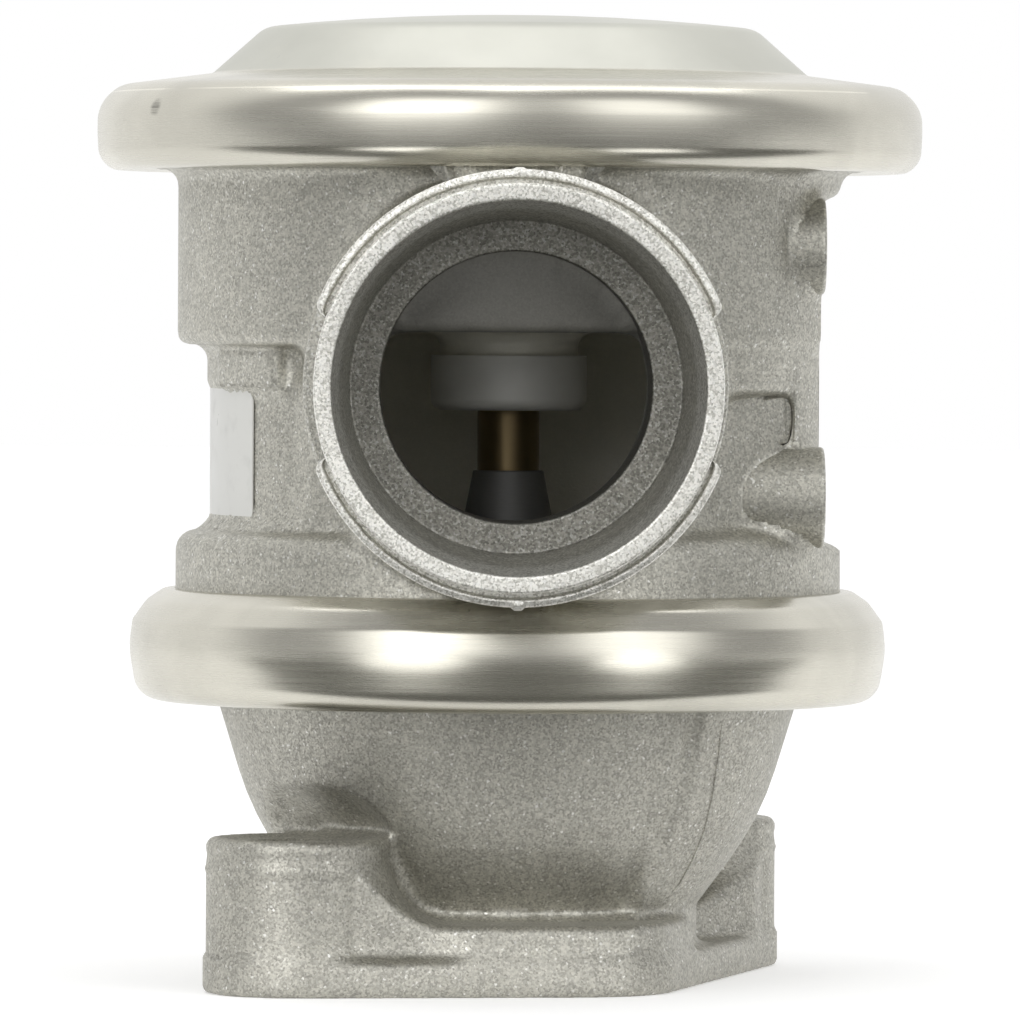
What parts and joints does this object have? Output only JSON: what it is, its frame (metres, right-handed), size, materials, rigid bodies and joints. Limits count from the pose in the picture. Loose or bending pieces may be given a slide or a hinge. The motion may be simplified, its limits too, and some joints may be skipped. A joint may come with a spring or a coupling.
{
  "type": "vacuum air bypass valve",
  "caption": "Vacuum-operated air bypass valve with a check valve: round hose port at the front, domed steel diaphragm cover on top and a two-hole mounting flange below.",
  "frame": {"origin": "centre of the outlet bore on the mounting face", "axes": "+Z along the valve's axis towards the cover; the hose port points to -Y"},
  "size_m": [0.0692, 0.0885, 0.0809],
  "materials": {
    "rolled_steel": "satin",
    "cast_aluminium": "as cast",
    "plated_steel": "satin",
    "black_rubber": "matte",
    "brass": "turned",
    "bronze": "sintered",
    "spring_steel": "satin",
    "turned_aluminium": "turned"
  },
  "bodies": {
    "valve_body": {"cover": "rolled_steel", "housing": "cast_aluminium", "crimp_ring": "rolled_steel", "lower_body": "cast_aluminium", "vacuum_nipple": "plated_steel", "joint_gasket": "black_rubber", "diaphragm": "black_rubber", "return_spring": "spring_steel", "spring_seat": "plated_steel", "guide_bush": "bronze", "stem_seal": "black_rubber", "seal_retainer": "plated_steel", "check_plate": "plated_steel", "check_spring": "spring_steel", "check_retainer": "plated_steel", "check_pin": "plated_steel"},
    "actuator": {"diaphragm_plate_upper": "plated_steel", "diaphragm_plate_lower": "plated_steel", "stem": "brass", "stem_nut": "plated_steel", "poppet": "turned_aluminium", "poppet_seal": "black_rubber", "poppet_plate": "plated_steel", "poppet_nut": "plated_steel"},
    "check_disc": {"check_disc": "spring_steel"}
  },
  "joints": [
    {"name": "valve_stroke", "type": "slide", "parent": "valve_body", "child": "actuator", "axis": [0, 0, -1], "range_m": [0, 0.005], "stiffness_N_per_m": 1500, "springref_m": -0.01, "deforming": ["return_spring", "diaphragm"]},
    {"name": "check_stroke", "type": "slide", "parent": "valve_body", "child": "check_disc", "axis": [0, 0, -1], "range_m": [0, 0.0025], "stiffness_N_per_m": 100, "springref_m": -0.004, "deforming": ["check_spring"]}
  ]
}
